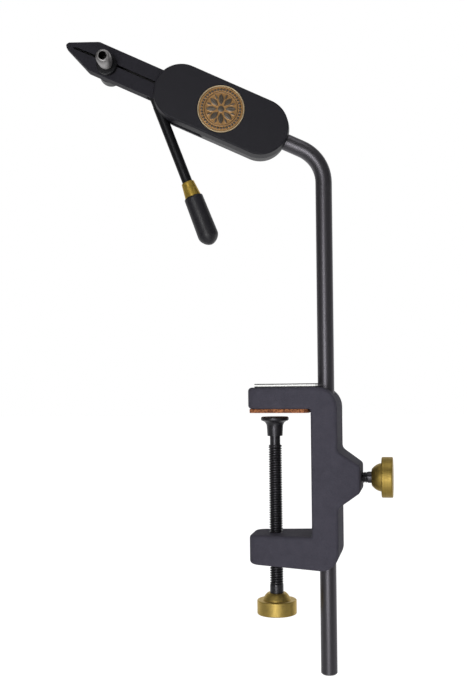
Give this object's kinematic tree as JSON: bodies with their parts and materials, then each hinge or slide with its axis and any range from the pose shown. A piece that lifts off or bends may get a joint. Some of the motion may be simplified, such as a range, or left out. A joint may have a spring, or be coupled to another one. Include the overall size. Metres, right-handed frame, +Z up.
{
  "type": "fly tying vise",
  "caption": "Table clamp vise for tying fishing flies: C-clamp with screw, bent stem held by a side lock, and a tilted head with lever-opened jaws and an accessory post.",
  "frame": {"origin": "on the clamp screw's axis, on the underside of the cork pad, where the table top lies", "axes": "+Z up along the stem, the clamp's throat opens towards -X, and the front side with the medallion faces about -Y"},
  "size_m": [0.1834, 0.0633, 0.3661],
  "materials": {
    "casting_paint": "fine dark grey powder coat",
    "cork": "pressed cork granules",
    "plate": "pale sheet with a dark face",
    "stem_steel": "dark satin plating",
    "black_steel": "black oxide",
    "brass": "satin turned brass",
    "casing_paint": "satin black",
    "jaw_steel": "satin black oxide",
    "bronze": "antique bronze",
    "bright_steel": "satin silver",
    "vinyl": "dipped black vinyl",
    "nylon": "natural nylon",
    "spring_steel": "drawn wire"
  },
  "bodies": {
    "clamp": {"clamp_frame": "casting_paint", "pad": "cork", "top_plate": "plate"},
    "liner": {"stem_liner": "nylon"},
    "stem": {"stem": "stem_steel", "swivel_collar": "bright_steel", "swivel_screw": "bright_steel"},
    "head": {"head_body": "casing_paint", "front_cover": "casing_paint", "cover_screws": "black_steel", "medallion": "bronze", "lower_jaw": "jaw_steel", "jaw_springs": "spring_steel", "hinge_pin": "bright_steel", "jaw_dowel": "bright_steel", "cam_pin": "bright_steel", "post_collar": "black_steel", "accessory_post": "bright_steel", "post_nut": "black_steel", "swivel_washer": "nylon"},
    "upper_jaw": {"upper_jaw": "jaw_steel"},
    "lever": {"lever_cam": "black_steel", "lever_rod": "black_steel", "lever_ferrule": "brass", "lever_grip": "vinyl"},
    "foot": {"clamp_foot": "black_steel"},
    "spindle": {"clamp_screw": "black_steel", "clamp_knob": "brass", "foot_ring": "spring_steel"},
    "plug": {"lock_plug": "nylon"},
    "lock": {"lock_screw": "black_steel", "lock_knob": "brass"}
  },
  "joints": [
    {"name": "stem_swivel", "type": "hinge", "parent": "clamp", "child": "liner", "pos_m": [0.0302, 0, 0], "axis": [0, 0, 1], "continuous": true},
    {"name": "stem_height", "type": "slide", "parent": "liner", "child": "stem", "axis": [0, 0, 1], "range_m": [-0.075, 0.06]},
    {"name": "head_turn", "type": "hinge", "parent": "stem", "child": "head", "pos_m": [-0.00562, -0.00664, 0.16312], "axis": [0.8954, 0.166, -0.4131], "range_deg": [-110, 110]},
    {"name": "lever_squeeze", "type": "hinge", "parent": "head", "child": "lever", "pos_m": [-0.06707, -0.01803, 0.18752], "axis": [0.1822, -0.9833, 0], "range_deg": [0, 22], "stiffness_Nm_per_rad": 2, "springref_deg": -28.65},
    {"name": "jaw_open", "type": "hinge", "parent": "head", "child": "upper_jaw", "pos_m": [-0.02165, -0.00961, 0.17052], "axis": [0.1822, -0.9833, 0], "range_deg": [-2.1, 0], "deforming": ["jaw_springs"]},
    {"name": "foot_feed", "type": "slide", "parent": "clamp", "child": "foot", "axis": [0, 0, 1], "range_m": [-0.05482, 0.00196]},
    {"name": "spindle_turn", "type": "hinge", "parent": "foot", "child": "spindle", "pos_m": [0, 0, -0.06], "axis": [0, 0, 1], "range_deg": [-14000, 500]},
    {"name": "plug_feed", "type": "slide", "parent": "clamp", "child": "plug", "axis": [1, 0, 0], "range_m": [0, 0.003]},
    {"name": "lock_turn", "type": "hinge", "parent": "plug", "child": "lock", "pos_m": [0.05, 0, -0.0376], "axis": [1, 0, 0], "range_deg": [0, 850]}
  ],
  "couplings": [
    {"joint": "jaw_open", "follows": "lever_squeeze", "ratio": -0.090909},
    {"joint": "spindle_turn", "follows": "foot_feed", "rad_per_m": 4452.6},
    {"joint": "lock_turn", "follows": "plug_feed", "rad_per_m": 4947.4}
  ]
}
